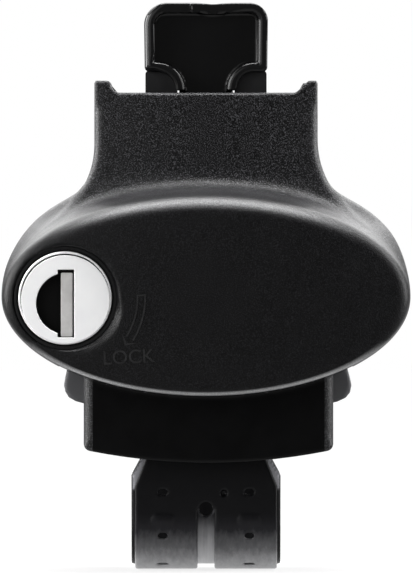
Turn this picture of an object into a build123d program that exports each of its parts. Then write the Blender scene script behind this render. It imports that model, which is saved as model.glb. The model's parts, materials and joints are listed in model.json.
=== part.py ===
from build123d import *
import math
import os

# Frame: +X right, -Y front, +Z up. The origin is the middle of the rail pad's underside.

# Clearances
slide_gap = 0.4
run_gap = 0.05
seam_gap = 0.4

# Rail and strap
rail_space_depth = 32.0
rail_space_height = 30.6
strap_width = 30.0
strap_band_t = 1.6
strap_cover_t = 1.0
strap_cover_width = 27.8
strap_corner_r = 7.0
strap_taper_start = -14.2
strap_taper_slope = 0.54
strap_cover_taper_start = -16.4
strap_cover_taper_slope = 0.4
strap_cover_top = -8.0
strap_tab_width = 10.6
strap_groove_width = 3.4
strap_groove_top = -21.0
strap_hole_d = 2.8
strap_slot_length = 2.0
strap_slot_height = 1.2
strap_slot_x = 8.7
strap_slot_heights = (-17.6, -26.4)
strap_stud_length = 4.8
strap_stud_height = 2.4
strap_stud_proud = 0.25
strap_stud_z = -23.2

# Rail pad and base plate
pad_half_width = 28.8
pad_depth = 29.0
pad_height = 7.0
pad_floor_t = 3.5
pad_rim = 2.4
pad_corner_r = 3.0
base_plate_t = 3.0
base_screw_d = 5.0
base_screw_head_d = 9.0
base_screw_head_t = 2.2
base_screw_x = 5.0
base_screw_y = 8.0

# Frame channel and its end plates
channel_half_width = 12.2
channel_t = 2.5
channel_depth = 28.0
channel_top = 67.2
channel_lip_drop = 7.3
channel_corner_r = 0.8
lip_slot_half = 5.8
thrust_plate_t = 3.0
thrust_plate_low = 23.0
plate_top_drop = 9.2
rear_plate_low = 27.0

# Bar tongue
tongue_overhang = 0.1
tongue_head_height = 13.2
tongue_head_corner_r = 4.4
tongue_wall = 2.2
tongue_depth = 24.0
tongue_recess = 4.0
tongue_recess_r = 1.6
neck_below_pin = 7.0
pin_d = 5.0
tongue_pin_y = 1.0

# Cam block and tension bolt
cheek_gap = 0.4
cheek_side_gap = 0.9
block_top_gap = 1.0
block_travel = 6.25
tongue_lift = 3.0
strap_drop = 3.0
slot_gap = 0.4
slot_wall = 3.0
arm_sole = 2.2
nut_height = 14.0
arm_top = 20.8
bolt_z = 32.0
bolt_d = 8.0
bolt_head_d = 13.0
bolt_head_t = 8.0
bolt_end = 13.0
bolt_socket_af = 6.0
bolt_socket_depth = 4.0
washer_d = 16.0
washer_t = 1.6
bolt_clip_d = 12.0
bolt_clip_t = 1.2

# Pins of the strap
eye_r = 4.2
strap_pin_z = 14.0
hook_pin_z = 8.0
lug_t = 3.0
lug_r = 4.4
clip_d = 9.0
clip_t = 0.8
clip_stand_off = 0.2
pin_overhang = 0.7

# Front cover
cover_wall = 2.5
cover_back = 2.0
body_front = -26.0
collar_half = 22.4
collar_drop = 4.6
collar_low = 51.5
flare_r = 12.0
flare_turn = 60.0
oval_half_width = 41.2
oval_z = 21.6
oval_low = 1.6
shoulder_reach = 8.4
shoulder_drop = 8.0
oval_rise_back = 24.6
oval_front_inset = 1.6
oval_front_rise = 19.2
oval_front_drop = 19.0
face_y = -40.0
face_r = 280.0
face_edge_r = 1.2
body_edge_r = 1.6
ear_height = 2.4
ear_left_top = 2.8
ear_left_foot = 4.8
ear_right_top = 1.8
ear_right_foot = 4.4
skirt_half = 25.1
skirt_front = -27.0
skirt_side_depth = 7.0
skirt_low_side = -8.4
skirt_low_mid = -11.6
skirt_corner_r = 1.0
bottom_gap_half = 17.0
bottom_gap_front = -24.0
pad_clearance = 0.6

# Lock
lock_inset = 13.1
lock_drop = 0.2
lock_face_y = -38.2
lock_face_d = 18.6
lock_face_t = 2.4
lock_barrel_d = 12.0
lock_rim_t = 0.5
sleeve_d = 16.0
sleeve_head_d = 20.4
sleeve_head_t = 1.0
sleeve_lip = 0.6
sleeve_nut_d = 18.4
sleeve_nut_t = 3.0
dish_r = 12.2
key_slot_width = 3.3
key_slot_height = 13.4
key_slot_depth = 1.2
key_slot_drop = 1.1
key_hollow_r = 6.2
key_hollow_x = 0.4
key_hollow_depth = 2.0
cam_y = -18.6
cam_t = 2.0
cam_width = 6.0
cam_reach = 12.8
cam_hub_r = 5.0
cam_screw_d = 4.0
cam_screw_length = 7.0
cam_screw_head_d = 7.0
cam_screw_head_t = 2.4

# Catch for the lock cam
catch_t = 2.5
catch_gap = 1.6
catch_front = -22.0
catch_back = -4.0
catch_low = 15.0
catch_high = 28.0
catch_rivet_d = 3.0
catch_rivet_head_d = 5.0
catch_rivet_head_t = 1.2
catch_rivet_y = -7.5

# Rear cover
rear_end = 28.0
rear_edge_r = 4.0
rear_boss_d = 9.0
rear_screw_d = 4.0
rear_screw_head_d = 7.5
rear_screw_head_t = 2.6
rear_screw_heights = (33.0, 53.0)

# Places worked out from the sizes above
rail_half = rail_space_depth / 2
band_out = rail_half + strap_band_t
cover_out = band_out + strap_cover_t
band_low = -(rail_space_height + strap_band_t)
cover_low = band_low - strap_cover_t
strap_pin_y = -(rail_half + eye_r)
hook_pin_y = rail_half + eye_r
pad_half_depth = pad_depth / 2
plate_low = pad_floor_t
plate_high = plate_low + base_plate_t
channel_low = plate_high
channel_floor = channel_low + channel_t
channel_front = -channel_depth / 2
channel_back = channel_depth / 2
channel_inner = channel_half_width - channel_t
lip_low = channel_top - channel_lip_drop
collar_top = channel_top - collar_drop
thrust_plate_high = channel_top - plate_top_drop
neck_half = lip_slot_half - slide_gap
head_low = channel_top + slide_gap
tongue_top = head_low + tongue_head_height
tongue_head_half = channel_half_width + tongue_overhang
shoulder_r = tongue_head_half - neck_half - tongue_wall - slide_gap
cheek_in = neck_half + cheek_gap
cheek_out = channel_inner - cheek_side_gap
slot_half = pin_d / 2 + slot_gap
slot_margin = slot_half + slot_wall
tongue_pin_z = lip_low - block_top_gap - slot_margin - tongue_lift
tongue_neck_low = tongue_pin_z - neck_below_pin
block_front = tongue_pin_y - block_travel - slot_margin
block_back = tongue_pin_y + slot_margin
thrust_front = channel_front - thrust_plate_t
bolt_seat = thrust_front - washer_t
rear_plate_back = channel_back + thrust_plate_t
cover_low_edge = pad_height + pad_clearance
lock_x = lock_inset - oval_half_width
lock_z = oval_z - lock_drop
catch_reach = -lock_x - sleeve_d / 2 - catch_gap - channel_half_width


def slab(sketch, front, back):
    """A sketch in X and Z, run from the front place to the back place along Y."""
    return extrude(Plane.XZ.offset(-back) * sketch, amount=back - front)


def plank(sketch, left, right):
    """A sketch in Y and Z, run from left to right along X."""
    return extrude(Plane.YZ.offset(left) * sketch, amount=right - left)


def block(x0, x1, y0, y1, z0, z1):
    """A box between two corners."""
    return Pos((x0 + x1) / 2, (y0 + y1) / 2, (z0 + z1) / 2) * Box(x1 - x0, y1 - y0, z1 - z0)


def rod_x(diameter, y, z, x0, x1):
    """A rod along X."""
    return plank(Pos(y, z) * Circle(diameter / 2), x0, x1)


def rod_y(diameter, x, z, y0, y1):
    """A rod along Y."""
    return slab(Pos(x, z) * Circle(diameter / 2), y0, y1)


def rod_z(diameter, x, y, z0, z1):
    """A rod along Z."""
    return Pos(x, y, (z0 + z1) / 2) * Cylinder(diameter / 2, z1 - z0)


def mirrored(shape):
    """A shape and its twin across the middle plane."""
    return shape + mirror(shape, about=Plane.YZ)


def pair(shape):
    """A shape and its twin as separate solids."""
    return Compound(children=[shape, mirror(shape, about=Plane.YZ)])


def corner_vertices(sketch, x, y):
    """The vertices of a sketch at plus and minus x and at height y."""
    return [v for v in sketch.vertices() if abs(abs(v.X) - x) < 0.01 and abs(v.Y - y) < 0.01]


def span(x0, x1, y0, y1):
    """A rectangle between two corners of a sketch."""
    return Pos((x0 + x1) / 2, (y0 + y1) / 2) * Rectangle(x1 - x0, y1 - y0)


# Rail pad, base plate and screws

def rail_pad():
    section = span(-pad_half_width, pad_half_width, 0, pad_height)
    section = fillet(corner_vertices(section, pad_half_width, 0), pad_corner_r)
    section = fillet(corner_vertices(section, pad_half_width, pad_height), pad_rim / 2)
    pocket_half = pad_half_width - pad_rim
    section -= span(-pocket_half, pocket_half, pad_floor_t, pad_height)
    return slab(section, -pad_half_depth, pad_half_depth)


def base_screw_places():
    return [(x, y) for x in (-base_screw_x, base_screw_x) for y in (-base_screw_y, base_screw_y)]


def base_screw(x, y):
    head = Pos(x, y, plate_low + base_screw_head_t / 2) * Cone(
        base_screw_head_d / 2, base_screw_d / 2, base_screw_head_t
    )
    return head + rod_z(base_screw_d, x, y, plate_low + base_screw_head_t, channel_floor)


def base_screws():
    return Compound(children=[base_screw(x, y) for x, y in base_screw_places()])


def lug():
    inner = strap_tab_width / 2 + cheek_gap + slide_gap
    root = channel_back
    shape = span(root, hook_pin_y, plate_low, hook_pin_z + lug_r)
    shape += Pos(hook_pin_y, hook_pin_z) * Circle(lug_r)
    shape -= Pos(hook_pin_y, hook_pin_z) * Circle(pin_d / 2)
    return plank(shape, inner, inner + lug_t)


def base_plate():
    half = pad_half_width - pad_rim
    plate = block(-half, half, -pad_half_depth, pad_half_depth, plate_low, plate_high)
    plate += mirrored(lug())
    for x, y in base_screw_places():
        plate -= base_screw(x, y)
    return plate


def hook_pin():
    half = strap_tab_width / 2 + cheek_gap + slide_gap + lug_t
    return rod_x(pin_d, hook_pin_y, hook_pin_z, -half, half)


# Frame channel and what is fixed to it

def frame_channel():
    lip_r = shoulder_r - slide_gap
    section = span(-channel_half_width, channel_half_width, channel_low, channel_top)
    section -= span(-channel_inner, channel_inner, channel_floor, channel_top - channel_t)
    lip = span(lip_slot_half, channel_inner, lip_low, channel_top)
    section += lip
    section += mirror(lip, about=Plane.YZ)
    section -= span(-lip_slot_half, lip_slot_half, lip_low, channel_top)
    section = fillet(corner_vertices(section, lip_slot_half, channel_top), lip_r)
    section = fillet(corner_vertices(section, channel_half_width, channel_top), channel_corner_r)
    channel = slab(section, channel_front, channel_back)
    for x, y in base_screw_places():
        channel -= base_screw(x, y)
    for z in catch_rivet_heights():
        channel -= catch_rivet(z)
    return channel


def thrust_plate():
    plate = block(
        -channel_half_width, channel_half_width, thrust_front, channel_front, thrust_plate_low, thrust_plate_high
    )
    return plate - rod_y(bolt_d + 2 * run_gap, 0, bolt_z, thrust_front, channel_front)


def rear_plate():
    plate = block(
        -channel_half_width, channel_half_width, channel_back, rear_plate_back, rear_plate_low, thrust_plate_high
    )
    for z in rear_screw_heights:
        plate -= rear_screw(z)
    return plate


def bolt_washer():
    washer = rod_y(washer_d, 0, bolt_z, bolt_seat, thrust_front)
    return washer - rod_y(bolt_d + 2 * run_gap, 0, bolt_z, bolt_seat, thrust_front)


def catch_rivet_heights():
    middle = (catch_low + catch_high) / 2
    spread = (catch_high - catch_low) / 4
    return [middle - spread, middle + spread]


def catch_rivet(z):
    outer = -(channel_half_width + catch_t)
    head = rod_x(catch_rivet_head_d, catch_rivet_y, z, outer - catch_rivet_head_t, outer)
    return head + rod_x(catch_rivet_d, catch_rivet_y, z, outer, -channel_inner)


def catch_rivets():
    return Compound(children=[catch_rivet(z) for z in catch_rivet_heights()])


def cover_catch():
    wall = -channel_half_width
    plate = block(wall - catch_t, wall, catch_front, catch_back, catch_low, catch_high)
    plate += block(wall - catch_reach, wall, catch_front, catch_front + catch_t, catch_low, catch_high)
    for z in catch_rivet_heights():
        plate -= catch_rivet(z)
    return plate


# Bar tongue and its pin

def tongue_outline(inset):
    head_half = tongue_head_half - inset
    neck = neck_half - inset
    low = head_low + inset
    top = tongue_top - inset
    shape = span(-head_half, head_half, low, top)
    shape += span(-neck, neck, tongue_neck_low + inset, low)
    shape = fillet(corner_vertices(shape, head_half, top), tongue_head_corner_r - inset)
    shape = fillet(corner_vertices(shape, neck, low), shoulder_r + inset)
    return shape


def bar_tongue():
    front = -tongue_depth / 2
    back = tongue_depth / 2
    panel_front = front + tongue_recess
    shell = slab(tongue_outline(0), front, back)
    recess = slab(tongue_outline(tongue_wall), front, panel_front)
    recess = fillet(recess.faces().sort_by(Axis.Y)[-1].edges(), tongue_recess_r)
    shell -= recess
    shell -= slab(tongue_outline(tongue_wall), panel_front + tongue_wall, back)
    shell = fillet(shell.faces().sort_by(Axis.Y)[0].edges(), tongue_wall * 0.4)
    return shell - tongue_pin()


def tongue_pin():
    return rod_x(pin_d, tongue_pin_y, tongue_pin_z, -cheek_out, cheek_out)


# Cam block and tension bolt

def strap_pin_shift():
    run = hook_pin_y - strap_pin_y
    rise = strap_pin_z - hook_pin_z
    return math.sqrt(run**2 + rise**2 - (rise - strap_drop) ** 2) - run


def slot_path(y, z, dy, dz):
    """A slot in Y and Z for a pin that starts at y, z and moves by dy, dz."""
    length = math.hypot(dy, dz)
    angle = math.degrees(math.atan2(dz, dy))
    return Pos(y + dy / 2, z + dz / 2) * Rot(0, 0, angle) * SlotCenterToCenter(length, 2 * slot_half)


def cheek():
    reach = block_travel + strap_pin_shift()
    top = tongue_pin_z + tongue_lift + slot_margin
    arm_front = strap_pin_y - reach - slot_margin
    arm_low = strap_pin_z - strap_drop - slot_half - arm_sole
    arm_floor = channel_floor + slide_gap
    low_end = -pad_half_depth - block_travel - 2 * slide_gap
    arm_nose = strap_pin_z - strap_drop + slot_margin
    shape = make_face(
        Polyline(
            (arm_front, arm_low),
            (low_end, arm_low),
            (low_end, arm_floor),
            (block_back, arm_floor),
            (block_back, top),
            (block_front, top),
            (block_front, arm_top),
            (strap_pin_y, arm_top),
            (arm_front, arm_nose),
            close=True,
        )
    )
    shape -= slot_path(tongue_pin_y, tongue_pin_z, -block_travel, tongue_lift)
    shape -= slot_path(strap_pin_y, strap_pin_z, -reach, -strap_drop)
    return plank(shape, cheek_in, cheek_out)


def cam_block():
    half_height = nut_height / 2
    nut = block(-cheek_out, cheek_out, block_front, block_back, bolt_z - half_height, bolt_z + half_height)
    nut += mirrored(cheek())
    return nut - rod_y(bolt_d + 2 * run_gap, 0, bolt_z, block_front, block_back)


def tension_bolt():
    head_front = bolt_seat - bolt_head_t
    bolt = rod_y(bolt_head_d, 0, bolt_z, head_front, bolt_seat)
    bolt += rod_y(bolt_d, 0, bolt_z, bolt_seat, bolt_end)
    socket = Pos(0, bolt_z) * RegularPolygon(bolt_socket_af / 2, 6, major_radius=False)
    return bolt - slab(socket, head_front, head_front + bolt_socket_depth)


def bolt_clip():
    front = channel_front + slide_gap
    ring = rod_y(bolt_clip_d, 0, bolt_z, front, front + bolt_clip_t)
    return ring - rod_y(bolt_d, 0, bolt_z, front, front + bolt_clip_t)


# Strap

def u_shape(half_depth, low, radius, front_top, back_top):
    """The filled outline of the strap in Y and Z, with round lower corners."""
    shape = span(-half_depth, half_depth, low, 0)
    shape = fillet(corner_vertices(shape, half_depth, low), radius)
    shape += span(-half_depth, 0, 0, front_top)
    shape += span(0, half_depth, 0, back_top)
    return shape


def width_profile(half, start, slope, tab_half, top):
    """The strap's outline from the front, tapered above a start height to a tab."""
    tab_low = start + (half - tab_half) / slope
    low = cover_low - strap_cover_t
    shape = span(-half, half, low, start)
    shape += make_face(
        Polyline((-half, start), (half, start), (tab_half, tab_low), (-tab_half, tab_low), close=True)
    )
    if top > tab_low:
        shape += span(-tab_half, tab_half, tab_low, top)
    return slab(shape, -(cover_out + 2 * eye_r), cover_out + 2 * eye_r)


def strap_band():
    half = strap_width / 2
    outer_r = strap_corner_r + strap_band_t
    section = u_shape(band_out, band_low, outer_r, strap_pin_z, hook_pin_z)
    section += Pos(strap_pin_y, strap_pin_z) * Circle(eye_r)
    section += Pos(hook_pin_y, hook_pin_z) * Circle(eye_r)
    top = strap_pin_z + eye_r
    section -= u_shape(rail_half, -rail_space_height, strap_corner_r, top, top)
    section -= Pos(strap_pin_y, strap_pin_z) * Circle(pin_d / 2)
    section -= Pos(hook_pin_y, hook_pin_z) * Circle(pin_d / 2 + run_gap)
    band = plank(section, -half, half)
    band &= width_profile(half, strap_taper_start, strap_taper_slope, strap_tab_width / 2, top)
    band -= rod_y(strap_hole_d, 0, strap_groove_top, -cover_out, -rail_half)
    return band - strap_slots()


def strap_slots():
    """Small slots through the cover and the band, on the front leg and under the bend."""
    shape = SlotOverall(strap_slot_length, strap_slot_height)
    under_y = -(rail_half - strap_corner_r)
    under = Plane.XY.offset(cover_low) * Pos(strap_slot_x, under_y) * shape
    slots = extrude(under, amount=-rail_space_height - cover_low)
    for z in strap_slot_heights:
        slots += slab(Pos(strap_slot_x, z) * shape, -cover_out, -rail_half)
    return mirrored(slots)


def strap_cover():
    half = strap_cover_width / 2
    band_r = strap_corner_r + strap_band_t
    section = u_shape(cover_out, cover_low, band_r + strap_cover_t, strap_cover_top, strap_cover_top)
    section -= u_shape(band_out, band_low, band_r, 0, 0)
    section -= span(-cover_out, cover_out, strap_cover_top, 0)
    cover = plank(section, -half, half)
    cover &= width_profile(half, strap_cover_taper_start, strap_cover_taper_slope, strap_tab_width / 2, 0)
    groove_half = strap_groove_width / 2
    cover -= block(-groove_half, groove_half, -cover_out, cover_out, cover_low, strap_groove_top)
    cover -= rod_y(strap_hole_d, 0, strap_groove_top, -cover_out, -band_out)
    cover -= strap_slots()
    stud = Pos(strap_slot_x, strap_stud_z) * SlotOverall(strap_stud_length, strap_stud_height)
    return cover + mirrored(slab(stud, -cover_out - strap_stud_proud, -cover_out))


def strap_pin():
    half = cheek_out + clip_stand_off + clip_t + pin_overhang
    return rod_x(pin_d, strap_pin_y, strap_pin_z, -half, half)


def strap_pin_clips():
    start = cheek_out + clip_stand_off
    ring = rod_x(clip_d, strap_pin_y, strap_pin_z, start, start + clip_t)
    return pair(ring - rod_x(pin_d, strap_pin_y, strap_pin_z, start, start + clip_t))


# Front cover

def body_outline(inset=0):
    """Collar, flared shoulders and the lower half of the oval, in X and Z, drawn in by an inset."""
    collar = collar_half - inset
    top = collar_top - inset
    turn_r = flare_r + inset
    half = oval_half_width - inset
    flare_end = math.radians(180 + flare_turn)
    flare_x = collar_half + flare_r + turn_r * math.cos(flare_end)
    flare_z = collar_low + turn_r * math.sin(flare_end)
    lean = math.radians(90 - flare_turn)
    shoulder = (flare_x + shoulder_reach * math.cos(lean), flare_z - shoulder_reach * math.sin(lean))
    with BuildSketch() as outline:
        with BuildLine():
            Line((0, top), (collar, top))
            Line((collar, top), (collar, collar_low))
            CenterArc((collar_half + flare_r, collar_low), turn_r, 180, flare_turn)
            Bezier((flare_x, flare_z), shoulder, (half, oval_z + shoulder_drop), (half, oval_z))
            EllipticalCenterArc((0, oval_z), half, oval_z - oval_low - inset, 270, arc_size=90)
            mirror(about=Plane.YZ)
        make_face()
    return outline.sketch


def egg(half_width, rise, drop):
    """An oval with its own height above and below the middle."""
    with BuildSketch() as shape:
        with BuildLine():
            EllipticalCenterArc((0, oval_z), half_width, rise, 0, arc_size=180)
            EllipticalCenterArc((0, oval_z), half_width, drop, 180, arc_size=180)
        make_face()
    return shape.sketch


def oval_boss(inset):
    """The oval that stands in front of the body, with a domed face."""
    back_face = Plane.XZ.offset(-body_front - inset) * egg(
        oval_half_width - inset, oval_rise_back - inset, oval_z - oval_low - inset
    )
    front_face = Plane.XZ.offset(-face_y) * egg(
        oval_half_width - oval_front_inset - inset, oval_front_rise - inset, oval_front_drop - inset
    )
    boss = loft([back_face, front_face])
    return boss & Pos(0, face_y + inset + face_r, oval_z) * Sphere(face_r)


def ear(top_width, foot_width):
    """The section of an ear at the collar's right edge."""
    top = collar_top + ear_height
    return make_face(
        Polyline(
            (collar_half - foot_width, collar_top),
            (collar_half, collar_top),
            (collar_half, top),
            (collar_half - top_width, top),
            close=True,
        )
    )


def ears(front, back):
    right = slab(ear(ear_right_top, ear_right_foot), front, back)
    left = mirror(slab(ear(ear_left_top, ear_left_foot), front, back), about=Plane.YZ)
    return right + left


def skirt_outline():
    with BuildSketch() as outline:
        with BuildLine():
            Line((-skirt_half, oval_z), (skirt_half, oval_z))
            Line((skirt_half, oval_z), (skirt_half, skirt_low_side))
            ThreePointArc((skirt_half, skirt_low_side), (0, skirt_low_mid), (-skirt_half, skirt_low_side))
            Line((-skirt_half, skirt_low_side), (-skirt_half, oval_z))
        make_face()
    return outline.sketch


def skirt():
    back = skirt_front + skirt_side_depth
    shell = slab(skirt_outline(), skirt_front, back)
    sides = [e for e in shell.edges().filter_by(Axis.Z) if e.center().Y < skirt_front + cover_wall]
    shell = fillet(sides, skirt_corner_r)
    half = skirt_half - cover_wall
    return shell - block(-half, half, skirt_front + cover_wall, back, skirt_low_mid, oval_z)


def front_cover():
    body = slab(body_outline(), body_front, cover_back)
    collar_edges = [e for e in body.edges().filter_by(Axis.Z) if e.center().Y < body_front + cover_wall]
    body = fillet(collar_edges, body_edge_r)
    boss = oval_boss(0)
    boss_faces = boss.faces().sort_by(Axis.Y)
    boss = fillet(boss_faces[0].edges(), face_edge_r)
    outer = body + boss
    cavity = slab(body_outline(cover_wall), body_front + cover_wall, cover_back)
    cavity += oval_boss(cover_wall)
    cover = outer + ears(body_front, cover_back) + skirt() - cavity
    boss_back = lock_face_y + lock_face_t + sleeve_head_t + slide_gap
    mount = rod_y(sleeve_nut_d + 2 * cover_wall, lock_x, lock_z, face_y, boss_back + cover_wall) & outer
    cover += mount
    cover -= rod_y(sleeve_head_d, lock_x, lock_z, face_y, boss_back)
    cover -= rod_y(sleeve_d, lock_x, lock_z, boss_back, boss_back + cover_wall)
    cover -= dish()
    top_half = channel_half_width + seam_gap
    top_low = collar_top - 2 * cover_wall
    cover -= block(-top_half, top_half, channel_front - seam_gap, cover_back, top_low, collar_top)
    wide = oval_half_width
    cover -= block(-wide, wide, -pad_half_depth - pad_clearance, cover_back, skirt_low_mid, cover_low_edge)
    gap_half = bottom_gap_half
    return cover - block(-gap_half, gap_half, bottom_gap_front, cover_back, skirt_low_mid, cover_low_edge)


def dish():
    """The shallow sunk cone round the lock."""
    depth = -face_y + lock_face_y
    cone = Cone(sleeve_head_d / 2, dish_r, depth)
    return Pos(lock_x, face_y + depth / 2, lock_z) * Rot(90, 0, 0) * cone


# Lock

def lock_sleeve():
    head_front = lock_face_y + sleeve_lip
    floor = lock_face_y + lock_face_t + slide_gap
    head_back = floor + sleeve_head_t
    tail = cam_y - 2 * sleeve_head_t
    sleeve = rod_y(sleeve_head_d, lock_x, lock_z, head_front, head_back)
    sleeve += rod_y(sleeve_d, lock_x, lock_z, head_back, tail)
    sleeve -= rod_y(lock_face_d + 2 * slide_gap, lock_x, lock_z, head_front, floor)
    return sleeve - rod_y(lock_barrel_d + 2 * run_gap, lock_x, lock_z, floor, tail)


def sleeve_nut():
    front = lock_face_y + lock_face_t + sleeve_head_t + slide_gap + cover_wall
    ring = rod_y(sleeve_nut_d, lock_x, lock_z, front, front + sleeve_nut_t)
    return ring - rod_y(sleeve_d, lock_x, lock_z, front, front + sleeve_nut_t)


def key_recess():
    slot_z = lock_z - key_slot_drop
    slot = slab(
        Pos(lock_x, slot_z) * Rectangle(key_slot_width, key_slot_height), lock_face_y, lock_face_y + key_slot_depth
    )
    hollow = Pos(lock_x + key_hollow_x, slot_z) * Circle(key_hollow_r)
    hollow &= span(lock_x - lock_face_d, lock_x, slot_z - lock_face_d, slot_z + lock_face_d)
    return slot + slab(hollow, lock_face_y, lock_face_y + key_hollow_depth)


def lock_core():
    back = lock_face_y + lock_face_t
    face = rod_y(lock_face_d, lock_x, lock_z, lock_face_y, back)
    face = chamfer(face.faces().sort_by(Axis.Y)[0].edges(), lock_rim_t)
    core = face + rod_y(lock_barrel_d, lock_x, lock_z, back, cam_y)
    core -= key_recess()
    return core - cam_screw()


def lock_cam():
    plate = slab(Pos(lock_x, lock_z) * Circle(cam_hub_r), cam_y, cam_y + cam_t)
    finger_half = cam_width / 2
    plate += block(
        lock_x - finger_half, lock_x + finger_half, cam_y, cam_y + cam_t, lock_z, lock_z + cam_reach
    )
    return plate - cam_screw()


def cam_screw():
    seat = cam_y + cam_t
    head = rod_y(cam_screw_head_d, lock_x, lock_z, seat, seat + cam_screw_head_t)
    return head + rod_y(cam_screw_d, lock_x, lock_z, seat - cam_screw_length, seat)


# Rear cover

def rear_screw(z):
    head_front = rear_end - rear_screw_head_t
    head = rod_y(rear_screw_head_d, 0, z, head_front, rear_end)
    return head + rod_y(rear_screw_d, 0, z, channel_back + run_gap, head_front)


def rear_cover_screws():
    return Compound(children=[rear_screw(z) for z in rear_screw_heights])


def rear_cover():
    front = cover_back + seam_gap
    shell = slab(body_outline(), front, rear_end)
    shell = fillet(shell.faces().sort_by(Axis.Y)[-1].edges(), rear_edge_r)
    shell -= slab(body_outline(cover_wall), front, rear_end - cover_wall)
    shell += ears(front, rear_end - rear_edge_r)
    top_half = channel_half_width + seam_gap
    top_low = collar_top - 2 * cover_wall
    shell -= block(-top_half, top_half, front, channel_back + seam_gap, top_low, collar_top)
    wide = oval_half_width
    shell -= block(-wide, wide, front, rear_end, oval_low, cover_low_edge)
    for z in rear_screw_heights:
        shell += rod_y(rear_boss_d, 0, z, rear_plate_back, rear_end - cover_wall)
        shell -= rear_screw(z)
    return shell


nodes = {
    "rail_pad": rail_pad(),
    "base_plate": base_plate(),
    "base_screws": base_screws(),
    "hook_pin": hook_pin(),
    "frame_channel": frame_channel(),
    "thrust_plate": thrust_plate(),
    "rear_plate": rear_plate(),
    "bolt_washer": bolt_washer(),
    "cover_catch": cover_catch(),
    "catch_rivets": catch_rivets(),
    "bar_tongue": bar_tongue(),
    "tongue_pin": tongue_pin(),
    "cam_block": cam_block(),
    "tension_bolt": tension_bolt(),
    "bolt_clip": bolt_clip(),
    "strap_band": strap_band(),
    "strap_cover": strap_cover(),
    "strap_pin": strap_pin(),
    "strap_pin_clips": strap_pin_clips(),
    "front_cover": front_cover(),
    "lock_sleeve": lock_sleeve(),
    "sleeve_nut": sleeve_nut(),
    "lock_core": lock_core(),
    "lock_cam": lock_cam(),
    "cam_screw": cam_screw(),
    "rear_cover": rear_cover(),
    "rear_cover_screws": rear_cover_screws(),
}

os.makedirs("parts", exist_ok=True)
for name, shape in nodes.items():
    export_step(shape, f"parts/{name}.step")
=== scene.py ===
import json
import math

import bpy
import numpy as np
from mathutils import Matrix, Vector


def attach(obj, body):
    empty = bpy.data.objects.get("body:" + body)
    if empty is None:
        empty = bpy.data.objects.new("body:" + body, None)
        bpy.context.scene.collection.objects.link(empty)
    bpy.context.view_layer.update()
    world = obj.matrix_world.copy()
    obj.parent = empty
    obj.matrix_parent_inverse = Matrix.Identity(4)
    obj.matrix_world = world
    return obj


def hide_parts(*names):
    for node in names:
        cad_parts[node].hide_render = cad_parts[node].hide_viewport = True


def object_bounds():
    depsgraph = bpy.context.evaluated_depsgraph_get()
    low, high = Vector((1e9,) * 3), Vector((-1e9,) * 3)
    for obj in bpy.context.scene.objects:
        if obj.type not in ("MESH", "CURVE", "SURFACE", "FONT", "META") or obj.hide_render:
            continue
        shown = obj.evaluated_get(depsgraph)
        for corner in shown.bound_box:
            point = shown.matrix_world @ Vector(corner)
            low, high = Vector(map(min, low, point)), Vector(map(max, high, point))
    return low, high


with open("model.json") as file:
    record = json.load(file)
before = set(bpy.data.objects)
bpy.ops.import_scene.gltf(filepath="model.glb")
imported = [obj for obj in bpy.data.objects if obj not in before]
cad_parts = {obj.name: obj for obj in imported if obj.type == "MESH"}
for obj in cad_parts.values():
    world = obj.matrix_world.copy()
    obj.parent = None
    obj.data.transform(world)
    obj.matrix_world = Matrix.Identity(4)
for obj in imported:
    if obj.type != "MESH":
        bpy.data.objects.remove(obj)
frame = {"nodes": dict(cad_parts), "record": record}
cad_low, cad_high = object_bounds()
nodes = frame["nodes"]
MM = 0.001

# Sizes of the front cover and the place of its lock, in millimetres
OVAL_HALF = 40.7
OVAL_Z = 21.6
OVAL_LOW = 1.8
OVAL_LOW_POWER = 1.98
SHOULDER_RISE = 24.6
SHOULDER_POWER = 2.4
BOSS_RISE = 22.4
FACE_HALF = 40.5
FACE_RISE = 19.5
FACE_DROP = 19.6
CREASE_ROUND = 3.0
LIP_ROUND = 1.2
FACE_Y = -40.0
FACE_R = 280.0
BODY_FRONT = -26.0
BODY_ROUND = 1.7
BODY_BLEND = 2.4
TOP_ROUND = 0.5
COVER_BACK = 2.0
COVER_WALL = 2.5
COLLAR_HALF = 22.4
COLLAR_TOP = 62.6
COLLAR_BOW = 320.0
EAR_TOP = 65.0
FLARE_TURN = 42
FLARE_FOOT = 28.0
SHOULDER_LEAN = 0.4
SHOULDER_SLANT = 4.0
SKIRT_X = 0.5
SKIRT_HALF = 25.0
SKIRT_SAG = 2.3
SKIRT_LOW = -11.6
SKIRT_ROUND = 1.5
SKIRT_FRONT = -27.0
SKIRT_BACK = -20.0
SKIRT_TOP = 12.0
LOCK_X = -28.1
LOCK_Z = 21.4
LOCK_Y = -38.2
SEAT_R = 10.3
SEAT_DEPTH = 1.9
SEAT_DIP = (0.57, -0.82)
BORE_R = 10.2
BORE_BACK = -34.4
BARREL_BORE_R = 8.0
MOUNT_R = 11.7
MOUNT_BACK = -31.9

# Boxes cut from the cover: the tongue's opening, the room over the pad and the room for the strap
COVER_CUTS = (
    ((-12.6, -14.4, 57.6), (12.6, 6.0, 70.0)),
    ((-50.0, -15.1, -20.0), (50.0, 6.0, 7.6)),
    ((-17.0, -24.0, -20.0), (17.0, 6.0, 7.6)),
)


# Fields: each takes x, y and z in millimetres and is below zero inside the form

def soft_min(a, b, k):
    h = np.maximum(k - np.abs(a - b), 0.0) / k
    return np.minimum(a, b) - h * h * h * k / 6.0


def soft_max(a, b, k):
    return -soft_min(-a, -b, k)


def round_max(a, b, r):
    """The common part of two forms, with its edge rounded to a radius."""
    outside = np.sqrt(np.maximum(a + r, 0.0) ** 2 + np.maximum(b + r, 0.0) ** 2)
    return np.minimum(np.maximum(a, b), -r) + outside


def fade(value, low, high):
    t = np.clip((value - low) / (high - low), 0.0, 1.0)
    return t * t * (3 - 2 * t)


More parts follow.
